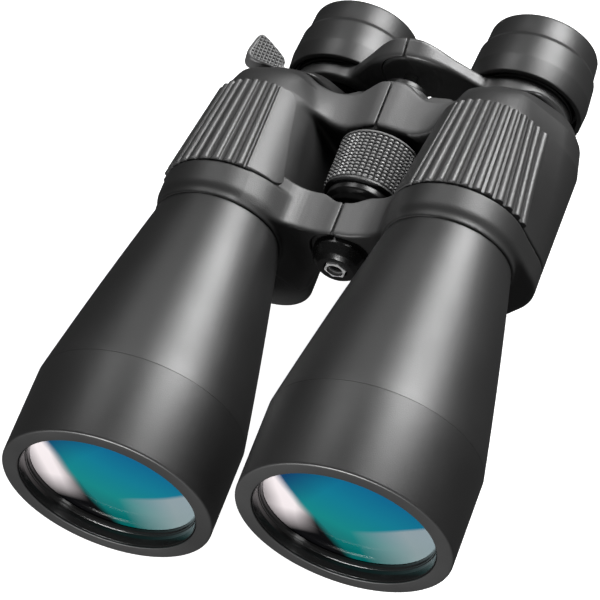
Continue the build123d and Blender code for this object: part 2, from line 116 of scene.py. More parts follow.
class Finish:
    """A procedural material: tone, roughness and relief vary over the surface at several scales."""

    def __init__(self, name, color, rough, metallic=0.0, spread=0.25, grain=900.0, relief=0.05,
                 cloud=22.0, rough_spread=0.08, coat=0.0, coat_rough=0.1, specular=0.5):
        self.m = bpy.data.materials.new(name)
        self.m.use_nodes = True
        self.n, self.l = self.m.node_tree.nodes, self.m.node_tree.links
        self.bsdf = self.n["Principled BSDF"]
        self.coords = self.n.new("ShaderNodeTexCoord").outputs["Object"]
        for socket, value in (("Metallic", metallic), ("Coat Weight", coat), ("Coat Roughness", coat_rough),
                              ("Specular IOR Level", specular), ("IOR", 1.5)):
            self.bsdf.inputs[socket].default_value = value
        soft, fine = self.noise(cloud, 4.0), self.noise(grain, 3.0)
        mixed = self.math("ADD", self.math("MULTIPLY", soft, 0.65), self.math("MULTIPLY", fine, 0.35))
        dark = tuple(c * (1 - spread) for c in color) + (1.0,)
        light = tuple(min(1.0, c * (1 + spread)) for c in color) + (1.0,)
        self.ramp = self.n.new("ShaderNodeValToRGB")
        for element, position, tone in zip(self.ramp.color_ramp.elements, (0.3, 0.7), (dark, light)):
            element.position, element.color = position, tone
        self.l.new(mixed, self.ramp.inputs["Fac"])
        self.paint(self.ramp.outputs["Color"])
        low, high = max(0.02, rough - rough_spread), min(1.0, rough + rough_spread)
        self.l.new(self.map_range(mixed, 0.3, 0.7, low, high), self.bsdf.inputs["Roughness"])
        bump = self.n.new("ShaderNodeBump")
        bump.inputs["Strength"].default_value = relief
        bump.inputs["Distance"].default_value = 0.0004
        self.l.new(fine, bump.inputs["Height"])
        self.l.new(bump.outputs["Normal"], self.bsdf.inputs["Normal"])

    def mix(self, mask, under, over):
        """Colour that goes from one tone to another by a mask. A tone is a tuple or another node's output."""
        node = self.n.new("ShaderNodeMix")
        node.data_type = "RGBA"
        self.l.new(mask, node.inputs[0])
        for socket, colour in ((node.inputs[6], under), (node.inputs[7], over)):
            if isinstance(colour, tuple):
                socket.default_value = colour + (1.0,)
            else:
                self.l.new(colour, socket)
        return node.outputs[2]

    def axes(self, vector):
        """X, Y and Z outputs of a vector."""
        node = self.n.new("ShaderNodeSeparateXYZ")
        self.l.new(vector, node.inputs["Vector"])
        return node.outputs

    def paint(self, colour):
        self.l.new(colour, self.bsdf.inputs["Base Color"])

    def noise(self, scale, detail):
        node = self.n.new("ShaderNodeTexNoise")
        node.inputs["Scale"].default_value = scale
        node.inputs["Detail"].default_value = detail
        self.l.new(self.coords, node.inputs["Vector"])
        return node.outputs["Fac"]

    def math(self, operation, a, b):
        node = self.n.new("ShaderNodeMath")
        node.operation = operation
        for socket, value in zip(node.inputs, (a, b)):
            if isinstance(value, (int, float)):
                socket.default_value = value
            else:
                self.l.new(value, socket)
        return node.outputs["Value"]

    def map_range(self, value, a0, a1, b0, b1):
        node = self.n.new("ShaderNodeMapRange")
        for socket, number in zip(node.inputs[1:5], (a0, a1, b0, b1)):
            socket.default_value = number
        self.l.new(value, node.inputs["Value"])
        return node.outputs["Result"]


def grey(v):
    return (linear(v),) * 3


# Tones of the lens coating with painted reflections: its teal and blue (the coating's tint, with a painted
# reflection in it), with their places along it, and the painted reflections that lie over it.
COATING_AND_REFLECTION_TONES = ((0.0, (0.0, 0.09, 0.085)), (0.3, (0.0, 0.15, 0.15)), (0.6, (0.0, 0.12, 0.18)),
       (0.85, (0.0, 0.08, 0.17)), (1.0, (0.0, 0.03, 0.07)))
DEEP_BLUE_REFLECTION, BLACK_REFLECTION = (0.0, 0.03, 0.09), (0.002, 0.002, 0.0025)
WHITE_REFLECTION, GREY_REFLECTION = (0.60, 0.55, 0.56), (0.22, 0.25, 0.26)


def coated_glass(name, centre, radius):
    """Multicoated lens: teal and blue over its middle (the coating's tint, with a painted reflection in it),
    with a painted white reflection, a black band of painted reflection and a grey painted reflection.
    """
    f = Finish(name, (0.0, 0.05, 0.06), 0.06, spread=0.1, relief=0.0, rough_spread=0.02, coat=0.5,
               coat_rough=0.02, specular=0.4)
    place = f.axes(f.coords)
    u = f.math("DIVIDE", f.math("SUBTRACT", place["X"], centre[0] * MM), radius * MM)
    v = f.math("DIVIDE", f.math("SUBTRACT", place["Z"], centre[1] * MM), radius * MM)
    drift = f.map_range(f.noise(28.0, 2.0), 0.3, 0.7, -0.05, 0.05)

    def along(a, b, low, high):
        """0 to 1 where a u + b v goes from low to high, with a little drift."""
        run = f.math("ADD", f.math("MULTIPLY", u, a), f.math("MULTIPLY", v, b))
        return f.map_range(f.math("ADD", run, drift), low, high, 0.0, 1.0)

    # The teal and blue: the coating's tint with a painted reflection, in tones along a slant.
    tint_and_reflection = f.n.new("ShaderNodeValToRGB")
    while len(tint_and_reflection.color_ramp.elements) < len(COATING_AND_REFLECTION_TONES):
        tint_and_reflection.color_ramp.elements.new(0.5)
    for element, (position, tone) in zip(tint_and_reflection.color_ramp.elements, COATING_AND_REFLECTION_TONES):
        element.position, element.color = position, tone + (1.0,)
    f.l.new(along(0.62, 0.78, -0.75, 0.95), tint_and_reflection.inputs["Fac"])
    # Painted reflection: deep blue over the upper left.
    blue = f.mix(along(-0.62, 0.78, 0.45, 0.90), tint_and_reflection.outputs["Color"], DEEP_BLUE_REFLECTION)
    # Painted reflection: a white patch on the left, darker towards its left edge.
    white_reflection_mask = f.math("MULTIPLY", along(0.0, 1.0, -0.52, 0.0), along(-1.0, 0.1, 0.42, 0.66))
    edge = f.math("SUBTRACT", 1.0, f.math("MULTIPLY", along(-1.0, 0.0, 0.80, 1.0), 0.6))
    # Painted reflections at the left: black, with the white patch over it; the teal covers the rest.
    colour = f.mix(f.math("MULTIPLY", white_reflection_mask, edge), BLACK_REFLECTION, WHITE_REFLECTION)
    colour = f.mix(along(1.0, 0.243, -0.55, -0.42), colour, blue)
    # Painted reflection: a grey patch at the lower right.
    grey_reflection_mask = f.math("MULTIPLY", along(0.25, -1.0, 0.28, 0.34), along(1.0, 0.0, -0.05, 0.60))
    f.paint(f.mix(f.math("MULTIPLY", grey_reflection_mask, 0.8), colour, GREY_REFLECTION))
    return f.m


def armour_finish():
    """Rubber armour, paler on top of the bridges (partly their paler finish, partly a painted highlight where
    they face up), with painted shade, near black, on the walls beside the hinge that do not face up.
    """
    f = Finish("rubber_armour", grey(0.155), 0.50, spread=0.12, relief=0.16, grain=2200.0, specular=0.8)
    far, near = 34 * MM, 20 * MM
    across = f.map_range(f.math("ABSOLUTE", f.axes(f.coords)["X"], 0.0), far, near, 0.0, 1.0)
    upward = f.axes(f.n.new("ShaderNodeNewGeometry").outputs["Normal"])["Z"]
    # Paler where the bridges face up: partly their paler finish, partly a painted highlight.
    bridge_paint_and_top_light = f.math("MULTIPLY", across, f.map_range(upward, 0.55, 0.9, 0.0, 1.0))
    # Painted shade: the walls beside the hinge that do not face up go near black.
    shade = f.math("MULTIPLY", across, f.map_range(upward, 0.5, 0.1, 0.0, 0.85))
    f.paint(f.mix(shade, f.mix(bridge_paint_and_top_light, f.ramp.outputs["Color"], grey(0.36)), (0.003, 0.003, 0.003)))
    return f.m


def painted_shade_inside(f, r0, r1):
    """Paints shade into a finish as it gets nearer to the hinge axis, from r1 to r0: painted shade in grooves
    and bores.
    """
    place = f.axes(f.coords)
    square = f.math("ADD", f.math("POWER", place["X"], 2.0), f.math("POWER", place["Z"], 2.0))
    mask = f.map_range(f.math("SQRT", square, 0.0), r0 * MM, r1 * MM, 0.05, 1.0)
    f.paint(f.mix(mask, (0.004, 0.004, 0.004), f.ramp.outputs["Color"]))
    return f.m


MATERIALS = {
    "coat": Finish("rubber_coat", grey(0.125), 0.44, spread=0.10, relief=0.10, grain=2600.0, specular=0.9).m,
    "armour": armour_finish(),
    "grip": Finish("rubber_grip", grey(0.22), 0.45, spread=0.16, relief=0.22, grain=2400.0, specular=0.8).m,
    # The knurl gets painted shade towards the floor of its grooves.
    "knurl": painted_shade_inside(Finish("knurled_rubber", grey(0.52), 0.36, spread=0.15, relief=0.10, grain=2600.0,
                                specular=0.8), WHEEL.r - 0.85, WHEEL.r - 0.15),
    "cup": Finish("eyecup_rubber", grey(0.15), 0.42, spread=0.10, relief=0.08, grain=2600.0, specular=0.8).m,
    "paint": Finish("painted_bridge", grey(0.30), 0.42, spread=0.10, relief=0.06, grain=1800.0, specular=0.8).m,
    "lever": Finish("moulded_lever", grey(0.36), 0.36, spread=0.12, relief=0.08, grain=2000.0, specular=0.8).m,
    "plastic": Finish("moulded_black", grey(0.16), 0.42, spread=0.15, relief=0.10, grain=2000.0).m,
    "gloss": Finish("gloss_black", grey(0.07), 0.30, spread=0.2, relief=0.02, coat=0.15, coat_rough=0.2).m,
    "bezel": Finish("bezel_black", grey(0.09), 0.20, spread=0.2, relief=0.02, coat=0.5, coat_rough=0.08).m,
    "anodised": Finish("anodised_black", grey(0.12), 0.24, spread=0.2, relief=0.03, metallic=0.4, coat=0.4).m,
    "aluminium": Finish("shelf_aluminium", grey(0.62), 0.45, spread=0.12, relief=0.10, metallic=1.0).m,
    "spring": Finish("spring_steel", grey(0.70), 0.28, spread=0.10, relief=0.05, metallic=1.0).m,
    "black_steel": Finish("black_steel", grey(0.25), 0.35, spread=0.15, relief=0.05, metallic=0.9).m,
    # The insert's bore gets painted shade.
    "insert": painted_shade_inside(Finish("bright_insert", grey(0.85), 0.42, spread=0.08, relief=0.05, metallic=0.15),
                          2.9, 3.1),
    "glass": Finish("clear_glass", (0.30, 0.42, 0.42), 0.08, spread=0.06, relief=0.0, coat=1.0,
                    coat_rough=0.02).m,
    "eye_glass": Finish("eye_glass", (0.005, 0.03, 0.028), 0.05, spread=0.2, relief=0.0, coat=1.0,
                        coat_rough=0.02).m,
}


# ---- mesh helpers -------------------------------------------------------------------------------
def finish_mesh(name, points, faces, material, body, slot, replaces=(), sharp=32.0, mirror=False):
    """Makes a piece from points in mm, mirrored to the left half if asked, and hangs it on its body."""
    points = np.asarray(points, float) * MM
    if mirror:
        points = points * (-1, 1, 1)
        faces = [tuple(f)[::-1] for f in faces]
    mesh = bpy.data.meshes.new(name)
    mesh.from_pydata(points.tolist(), [], [tuple(int(i) for i in f) for f in faces])
    mesh.validate()
    mesh.shade_smooth()
    mesh.set_sharp_from_angle(angle=radians(sharp))
    mesh.materials.append(material)
    piece = bpy.data.objects.new(name, mesh)
    bpy.context.scene.collection.objects.link(piece)
    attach(piece, body)
    if replaces:
        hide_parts(*replaces)
    return piece


def rounded(corners, closed=True, steps=5):
    """Polyline through (r, y, fillet) corners with its corners rounded."""
    out = []
    count = len(corners)
    for i, (r, y, fillet) in enumerate(corners):
        here = Vector((r, y))
        if not fillet or (not closed and i in (0, count - 1)):
            out.append(tuple(here))
            continue
        before = Vector(corners[i - 1][:2]) - here
        after = Vector(corners[(i + 1) % count][:2]) - here
        half = before.angle(after) / 2
        reach = min(fillet / np.tan(half), before.length * 0.49, after.length * 0.49)
        a, b = here + before.normalized() * reach, here + after.normalized() * reach
        for k in range(steps + 1):
            t = k / steps
            out.append(tuple(a * (1 - t) ** 2 + here * 2 * t * (1 - t) + b * t ** 2))
    return out


def lathe(profile, axis, segments=144, radius=None):
    """Closed solid of revolution about a line along Y. Points with r = 0 close on the axis."""
    angles = np.arange(segments) * 2 * pi / segments
    points, rings = [], []
    for r, y in profile:
        if r < 1e-6:
            rings.append([len(points)])
            points.append((axis[0], y, axis[1]))
            continue
        rr = r if radius is None else radius(r, y, angles)
        ring = np.stack([axis[0] + rr * np.cos(angles), np.full(segments, y), axis[1] + rr * np.sin(angles)], 1)
        rings.append(list(range(len(points), len(points) + segments)))
        points.extend(ring.tolist())
    faces = []
    closed = len(rings[0]) > 1
    pairs = list(zip(rings, rings[1:])) + ([(rings[-1], rings[0])] if closed else [])
    for a, b in pairs:
        for i in range(segments):
            j = (i + 1) % segments
            if len(a) == 1 and len(b) == 1:
                continue
            if len(a) == 1:
                faces.append((a[0], b[i], b[j]))
            elif len(b) == 1:
                faces.append((a[i], b[0], a[j]))
            else:
                faces.append((a[i], b[i], b[j], a[j]))
    return points, orient(points, faces)


def orient(points, faces):
    """Turns a closed mesh's faces so that they point outward, by the sign of its volume."""
    p = np.asarray(points, float)
    corners = np.array([(f[0], f[1], f[2], f[-1]) for f in faces])
    a, b, c, d = (p[corners[:, k]] for k in range(4))
    total = (a * (np.cross(b, c) + np.cross(c, d))).sum()
    return [tuple(f)[::-1] for f in faces] if total < 0 else faces


def each_side(make):
    for side, mirror in SIDES:
        make(side, mirror)


# ---- distance fields ----------------------------------------------------------------------------
def smin(a, b, k):
    h = np.clip(0.5 + 0.5 * (b - a) / k, 0, 1)
    return b * (1 - h) + a * h - k * h * (1 - h)


def smax(a, b, k):
    return -smin(-a, -b, k)


def smooth(x, low, high):
    t = np.clip((x - low) / (high - low), 0, 1)
    return t * t * (3 - 2 * t)


def capsule(x, z, a, b, ra, rb):
    """Distance to the hull of two circles, in the plane across Y."""
    px, pz = x - a[0], z - a[1]
    bx, bz = b[0] - a[0], b[1] - a[1]
    h = bx * bx + bz * bz
    qx, qy = np.abs(px * bz - pz * bx) / h, (px * bx + pz * bz) / h
    d = ra - rb
    c = np.sqrt(np.maximum(h - d * d, 1e-6))
    k, m, n = c * qy - d * qx, c * qx + d * qy, qx * qx + qy * qy
    near, far = np.sqrt(h * n) - ra, np.sqrt(h * np.maximum(n + 1 - 2 * qy, 0)) - rb
    return np.where(k < 0, near, np.where(k > c, far, m - ra))


def polygon(x, z, corners):
    """Signed distance to a closed outline, in the plane across Y."""
    best = np.full(np.broadcast(x, z).shape, 1e9)
    inside = np.ones_like(best)
    for (ax, az), (bx, bz) in zip(corners, corners[-1:] + corners[:-1]):
        ex, ez = bx - ax, bz - az
        wx, wz = x - ax, z - az
        t = np.clip((wx * ex + wz * ez) / (ex * ex + ez * ez), 0, 1)
        best = np.minimum(best, (wx - ex * t) ** 2 + (wz - ez * t) ** 2)
        up, down, left = z >= az, z < bz, ex * wz > ez * wx
        inside = np.where((up & down & left) | (~up & ~down & ~left), -inside, inside)
    return inside * np.sqrt(best)


def curve(points, steps=6):
    """Smooth curve through points, as a polyline."""
    p = [np.array(q, float) for q in points]
    p = [2 * p[0] - p[1]] + p + [2 * p[-1] - p[-2]]
    out = []
    for a, b, c, d in zip(p, p[1:], p[2:], p[3:]):
        for k in range(steps):
            t = k / steps
            out.append(tuple(0.5 * (2 * b + (c - a) * t + (2 * a - 5 * b + 4 * c - d) * t * t
                                    + (3 * b - a - 3 * c + d) * t ** 3)))
    return out + [tuple(p[-2])]


def field_mesh(field, low, high, cell):
    """Surface of a distance field, with its points moved onto the exact surface."""
    axes = [np.arange(a - 2 * cell, b + 3 * cell, cell) for a, b in zip(low, high)]
    x, y, z = axes[0][:, None, None], axes[1][None, :, None], axes[2][None, None, :]
    values = np.ascontiguousarray(np.broadcast_to(field(x, y, z), [len(a) for a in axes]), dtype=np.float32)
    values = np.clip(values, -4 * cell, 4 * cell)
    grid = openvdb.FloatGrid(4 * cell)
    grid.copyFromArray(values)
    points, quads = grid.convertToQuads(isovalue=0.0)
    points = points.astype(float) * cell + np.array([a[0] for a in axes])
    step = cell * 0.25
    for _ in range(3):
        at = lambda dx, dy, dz: field(points[:, 0] + dx, points[:, 1] + dy, points[:, 2] + dz)
        here = at(0, 0, 0)
        slope = np.stack([at(step, 0, 0) - at(-step, 0, 0), at(0, step, 0) - at(0, -step, 0),
                          at(0, 0, step) - at(0, 0, -step)], 1) / (2 * step)
        size = np.maximum((slope ** 2).sum(1), 0.2)
        move = slope * (here / size)[:, None]
        points -= np.clip(move, -cell * 0.5, cell * 0.5)
    return points, orient(points, quads)


# ---- barrels ------------------------------------------------------------------------------------
RECESS_R = 32.2         # of the recess in front of the lens
BELL_BORE_R = 35.0      # of the bell behind the lens's seat
NECK_R = 22.95          # of the cone where it meets the housing
CONE_BOW, CONE_STEPS = 0.4, 24
LENS_CAP, LENS_EDGE = 1.8, 3.0


def barrels(side, mirror):
    rim, crease, seat, inner = BELL.y0, BELL.y1, BEZEL.y0, RECESS_R
    bell = rounded([(inner + 0.3, seat, 0), (inner, rim, 0.35), (BELL.r, rim, 0.9), (BELL.r, crease, 0.12),
                    (BELL_BORE_R, crease, 0), (BELL_BORE_R, seat, 0)])
    finish_mesh(f"bell_{side}", *lathe(bell, OBJ, 192), MATERIALS["coat"], HALF[side], "rubber_coat",
                [f"front_bell_{side}"], mirror=mirror)
    neck_y = HOUSE_LO.y
    cone = []
    for k in range(CONE_STEPS + 1):
        t = k / CONE_STEPS
        bow = CONE_BOW * 4 * t * (1 - t)
        cone.append((BELL.r + (NECK_R - BELL.r) * t + bow, crease + (neck_y + 0.6 - crease) * t, 0))
    cone[0] = cone[0][:2] + (0.12,)
    body = rounded(cone + [(19.0, neck_y + 0.6, 0), (19.0, neck_y - 4, 0), (BELL.r - 3, crease + 3, 0),
                           (BELL.r - 3, crease, 0)])
    finish_mesh(f"barrel_{side}", *lathe(body, OBJ, 192), MATERIALS["coat"], HALF[side], "rubber_coat",
                [f"objective_barrel_{side}"], mirror=mirror)
    lens_r = BEZEL.r - 2.6
    bezel = rounded([(inner + 0.25, seat + 0.4, 0), (inner - 0.15, rim + 0.7, 0.15),
                     (inner - 0.4, rim + 0.65, 0.15), (inner - 1.0, rim + 3.0, 0.4),
                     (inner - 1.1, seat - 0.5, 0.3), (inner - 1.35, seat - 0.45, 0.1),
                     (inner - 1.4, seat - 0.1, 0.1), (lens_r + 0.3, seat, 0.15),
                     (lens_r + 0.05, seat + 0.5, 0.1), (lens_r - 0.1, seat + 1.3, 0),
                     (inner + 0.25, seat + 1.4, 0)])
    finish_mesh(f"lens_bezel_{side}", *lathe(bezel, OBJ, 192), MATERIALS["bezel"], HALF[side], "anodised_black",
                [f"retaining_ring_{side}"], mirror=mirror)
    edge_y = LENS.y0 + LENS_CAP
    front = [(lens_r * t, edge_y - LENS_CAP * (1 - t * t)) for t in np.linspace(0, 1, 25)]
    lens = front + [(lens_r, edge_y + LENS_EDGE), (0.0, edge_y + LENS_EDGE)]
    centre = (-OBJ[0] if mirror else OBJ[0], OBJ[1])
    glass = coated_glass(f"coated_glass_{side}", centre, lens_r)
    finish_mesh(f"objective_lens_{side}", *lathe(lens, OBJ, 144), glass, HALF[side], "coated_glass",
                [f"crown_lens_{side}"], mirror=mirror)


each_side(barrels)


# ---- housings -----------------------------------------------------------------------------------
# Radius of each lobe of the housing (above, outward and around the eyepiece) at the stations along it.
STATIONS = (HOUSE_LO.y, 17.0, 59.0, 69.0, HOUSE_HI.y)
TOP_R = (24.5, 24.5, 18.6, 15.2, 8.0)
OUTER_R = (21.0, 21.0, 21.4, 19.4, 14.2)
EYE_R = (17.0, 17.0, 17.0, 17.0, 16.8)
OUTER = (49.5, -6.0)        # centre of the outward lobe
GROOVE_Y = 17.3             # groove between the collar and the shell
SLOPE, SLOPE_Y, SLOPE_LENGTH = 0.782, 88.3, 1.27
SPLIT = 0.3                 # from the hinge axis to the inner face of each half's arms
KNUCKLE, SADDLE = 11.5, 11.8


def section(x, y, z):
    """Distance to the housing's outline: three lobes and the flats that join them."""
    top, outer, eye = (np.interp(y, STATIONS, radii) for radii in (TOP_R, OUTER_R, EYE_R))
    sides = (capsule(x, z, OBJ, OUTER, top, outer), capsule(x, z, OUTER, EYE, outer, eye),
             capsule(x, z, EYE, OBJ, eye, top))
    core = polygon(x, z, [OBJ, OUTER, EYE])
    return np.minimum(np.minimum(sides[0], sides[1]), np.minimum(sides[2], core))


def rear_slope(y, z):
    """Distance to the slope that the top of a housing and its cover fall along, towards the eyepiece."""
    return (y + SLOPE * z - SLOPE_Y) / SLOPE_LENGTH


# Outlines of the hinge arms across Y: their top from the housing in to the hinge, then their underside.
UNDER = [(0.0, 0.0)] + curve([(5.0, -11.9), (12.5, -13.4), (17.6, -19.5), (24.0, -24.0)], 3) + [(34.0, -10.0)]
FRONT_OUTLINE = curve([(30.0, 28.0), (25.2, 24.0), (21.6, 19.4), (18.2, 15.5), (14.0, 13.0), (9.5, 12.1),
                       (5.0, 12.4), (2.2, 12.9), (0.0, 13.0)], 3) + UNDER
REAR_OUTLINE_FRONT = curve([(38.0, 24.0), (32.5, 22.0), (28.0, 18.8), (24.2, 14.6), (20.0, 11.3), (15.5, 9.8),
                            (11.0, 10.1), (6.5, 11.5), (3.0, 12.7), (0.0, 13.1)], 3) + UNDER
REAR_OUTLINE_BACK = curve([(45.0, 17.5), (40.0, 15.5), (35.0, 13.5), (29.5, 11.4), (24.0, 9.9), (18.5, 9.2),
                           (13.0, 9.6), (8.0, 11.0), (3.5, 12.7), (0.0, 13.1)], 3) + UNDER


def bored(d, r, inner, cut_y):
    """Leaves out what lies within a radius of the hinge axis, on one side of a plane across it."""
    return smax(d, -smax(r - inner, cut_y, 0.3), 0.3)


def front_arm(x, y, z, mirror):
    across, r = np.clip(np.abs(x), 0, 40), np.sqrt(x * x + z * z)
    low = FRONT_LO.y - 1.2 + 0.9 * smooth(across, 3.0, 12.0) - 1.3 * smooth(across, 14.0, 21.0)
    high = FRONT_HI.y - 0.2 + 3.7 * smooth(across, 1.5, 10.0)
    d = smax(polygon(x, z, FRONT_OUTLINE), np.maximum(low - y, y - high), 1.6)
    d = smax(d, SPLIT - x, 0.5)
    d = bored(d, r, BOSS.r + 0.4, y - FRONT_LO.y - 0.1)
    d = bored(d, r, HUB.r + 0.5, HUB.y0 - 0.2 - y)
    return on_hinge(d, x, y, z, (FRONT_LO.y, FRONT_HI.y), mirror)


def rear_arm(x, y, z, mirror):
    across = np.clip(np.abs(x), 0, 50)
    low = REAR_LO.y + 0.3 + 3.4 * smooth(across, 9.0, 32.0)
    dip = smooth(across, 4.0, 15.0) * (1 - smooth(across, 20.0, 40.0)) * smooth(z, 0.0, 9.0)
    hood = smooth(across, 9.5, 10.5) * (1 - smooth(across, 17.0, 24.0)) * (1 - smooth(z, -2.0, 5.0))
    high = REAR_HI.y - 0.8 - 5.0 * dip + 4.2 * hood
    t = smooth(y, REAR_LO.y + 2, REAR_HI.y - 2)
    outline = polygon(x, z, REAR_OUTLINE_FRONT) * (1 - t) + polygon(x, z, REAR_OUTLINE_BACK) * t
    d = smax(outline, np.maximum(low - y, y - high), 2.4)
    d = smax(d, SPLIT - x, 0.5)
    d = bored(d, np.sqrt(x * x + z * z), NUT.r + 0.6, REAR_HI.y + 0.1 - y)
    return on_hinge(d, x, y, z, (REAR_LO.y, REAR_HI.y), mirror)


def on_hinge(d, x, y, z, ends, mirror):
    """Adds the right half's knuckle, or hollows the left arm around it."""
    r = np.sqrt(x * x + z * z)
    if mirror:
        return smax(d, SADDLE - r, 0.4)
    return np.minimum(d, smax(r - KNUCKLE, np.maximum(ends[0] - y, y - ends[1]), 1.0))


def housings(side, mirror):
    def collar(x, y, z):
        ring = np.sqrt((x - OBJ[0]) ** 2 + (z - OBJ[1]) ** 2) - TOP_R[0] + 0.75
        ring = smax(ring, HOUSE_LO.y - y, 0.5)
        block = smax(section(x, y, z), HOUSE_LO.y + 3.6 - y, 2.6)
        d = smin(ring, block, 2.0)
        d = smax(d, y - (GROOVE_Y - 0.2), 0.7)
        return smin(d, front_arm(x, y, z, mirror), 3.0)

    def shell(x, y, z):
        d = smax(section(x, y, z), GROOVE_Y + 0.15 - y, 0.7)
        d = smax(smax(d, y - HOUSE_HI.y, 4.0), rear_slope(y, z), 5.0)
        d = smax(smin(d, rear_arm(x, y, z, mirror), 3.0), rear_slope(y, z), 3.0)
        bore = np.sqrt((x - EYE[0]) ** 2 + (z - EYE[1]) ** 2) - GUIDE.r - 0.1
        return smax(d, -smax(bore, GUIDE.y0 - 1 - y, 0.3), 0.3)

    low, high = (-KNUCKLE, HOUSE_LO.y, HOUSE_LO.z), (HOUSE_HI.x, 26.0, HOUSE_HI.z + 1)
    finish_mesh(f"housing_collar_{side}", *field_mesh(collar, low, high, 0.55), MATERIALS["armour"], HALF[side],
                "rubber_armour", [f"front_arm_{side}"], sharp=180, mirror=mirror)
    low, high = (-KNUCKLE, GROOVE_Y, HOUSE_LO.z), (HOUSE_HI.x, HOUSE_HI.y + 3.5, HOUSE_HI.z + 1)
    finish_mesh(f"housing_shell_{side}", *field_mesh(shell, low, high, 0.6), MATERIALS["armour"], HALF[side],
                "rubber_armour", [f"prism_housing_{side}", f"rear_arm_{side}"], sharp=180, mirror=mirror)


each_side(housings)


# ---- ribbed grips -------------------------------------------------------------------------------
# Angles are in degrees about the barrel's axis, from the top, outward positive.
RIBS, RIB_FIRST, RIB_PITCH, RIB_END = 11, -24.3, 10.58, 5.6
RIB_HEIGHT, RIB_HALF = 1.35, 3.9
SEAM_ANGLE, SEAM_SINK = -29.2, -0.35
PAD_EDGE, PAD_HEIGHT, PAD_SHARE = (-66.5, -54.5), 0.95, 0.26
PAD_CORNER = (12, 5.5)      # degrees around, and mm along
GRIP_SINK, GRIP_DEPTH = -0.4, 1.2
GRIP_COLUMNS, GRIP_ROWS = 380, 40
RADIAN = 57.3               # degrees


def rib_profile(angle):
    """Height over the housing at an angle."""
    phase = (angle - RIB_FIRST) / RIB_PITCH
    off = np.abs(phase - np.round(phase)) * RIB_PITCH
    ribs = RIB_HEIGHT * np.sqrt(np.clip(1 - (off / RIB_HALF) ** 2, 0, 1))
    pad = PAD_HEIGHT * (1 - (1 - np.clip((SEAM_ANGLE - 0.5 - angle) / 1.6, 0, 1)) ** 2.2)
    return np.where(angle < SEAM_ANGLE + 0.9, SEAM_SINK + (pad - SEAM_SINK) * (pad > 0), ribs)


def grips(side, mirror):
    y0, y1 = GROOVE_Y + 0.25, GRIP_HI.y
    edge_rows = np.array([0, 0.1, 0.2, 0.35, 0.5, 0.75, 1.1])
    v = np.concatenate([edge_rows, np.linspace(1.8, y1 - y0 - 1.8, GRIP_ROWS), (y1 - y0) - edge_rows[::-1]])
    last = RIB_FIRST + RIB_PITCH * (RIBS - 1) + RIB_END
    u = np.linspace(0, 1, GRIP_COLUMNS)
    yy, uu = np.meshgrid(y0 + v, u, indexing="ij")
    t = (yy - y0) / (y1 - y0)
    inner = PAD_EDGE[0] + (PAD_EDGE[1] - PAD_EDGE[0]) * t
    angle = np.where(uu < PAD_SHARE, inner + (SEAM_ANGLE - inner) * uu / PAD_SHARE,
                     SEAM_ANGLE + (last - SEAM_ANGLE) * (uu - PAD_SHARE) / (1 - PAD_SHARE))
    corner = np.clip((inner + PAD_CORNER[0] - angle) / PAD_CORNER[0], 0, 1)
    inset = PAD_CORNER[1] * (1 - np.sqrt(1 - np.clip(corner, 0, 0.999) ** 2))
    middle = (y0 + y1) / 2
    yy = middle + (yy - middle) * (1 - inset / ((y1 - y0) / 2))
    a = np.radians(angle)
    rho_low, rho_high = np.full(a.shape, 5.0), np.full(a.shape, 60.0)
    for _ in range(26):      # halves the range until the radius lies on the housing
        rho = (rho_low + rho_high) / 2
        out = section(OBJ[0] + rho * np.sin(a), yy, OBJ[1] + rho * np.cos(a)) > 0
        rho_high, rho_low = np.where(out, rho, rho_high), np.where(out, rho_low, rho)
    rho = (rho_low + rho_high) / 2
    height = rib_profile(angle)
    edge_y = np.minimum(v[:, None], (y1 - y0) - v[:, None])
    edge_in = (angle - inner) / RADIAN * rho
    edge_out = (last - angle) / RADIAN * rho
    edge = np.minimum(np.minimum(edge_y, edge_in), edge_out)
    ends = np.clip(edge / 0.55, 0, 1)
    height = GRIP_SINK + (height - GRIP_SINK) * (1 - (1 - ends) ** 2.2)
    top, under = (np.stack([OBJ[0] + radius * np.sin(a), yy, OBJ[1] + radius * np.cos(a)], -1)
                  for radius in (rho + height, rho - GRIP_DEPTH))
    rows, cols = a.shape
    points = np.concatenate([top.reshape(-1, 3), under.reshape(-1, 3)])
    faces = []
    n = rows * cols
    for i in range(rows - 1):
        for j in range(cols - 1):
            p = i * cols + j
            faces.append((p, p + 1, p + cols + 1, p + cols))
            faces.append((n + p, n + p + cols, n + p + cols + 1, n + p + 1))
    border = [(i * cols, (i + 1) * cols) for i in range(rows - 1)]
    border += [((rows - 1) * cols + j, (rows - 1) * cols + j + 1) for j in range(cols - 1)]
    border += [((i + 1) * cols + cols - 1, i * cols + cols - 1) for i in range(rows - 1)]
    border += [(j + 1, j) for j in range(cols - 1)]
    faces += [(p, q, n + q, n + p) for p, q in border]
    finish_mesh(f"grip_{side}", points, orient(points, faces), MATERIALS["grip"], HALF[side], "rubber_grip",
                [f"grip_panel_{side}"], sharp=50, mirror=mirror)


each_side(grips)


# ---- rear covers, guide tubes and eyepiece tubes --------------------------------------------------
COVER_SCREWS = ((44.0, 3.5), (54.0, -5.0))
COVER_OUTER = (OUTER[0] - 1, OUTER[1])
COVER_EYE_R, COVER_COLLAR_R = 16.6, 16.4


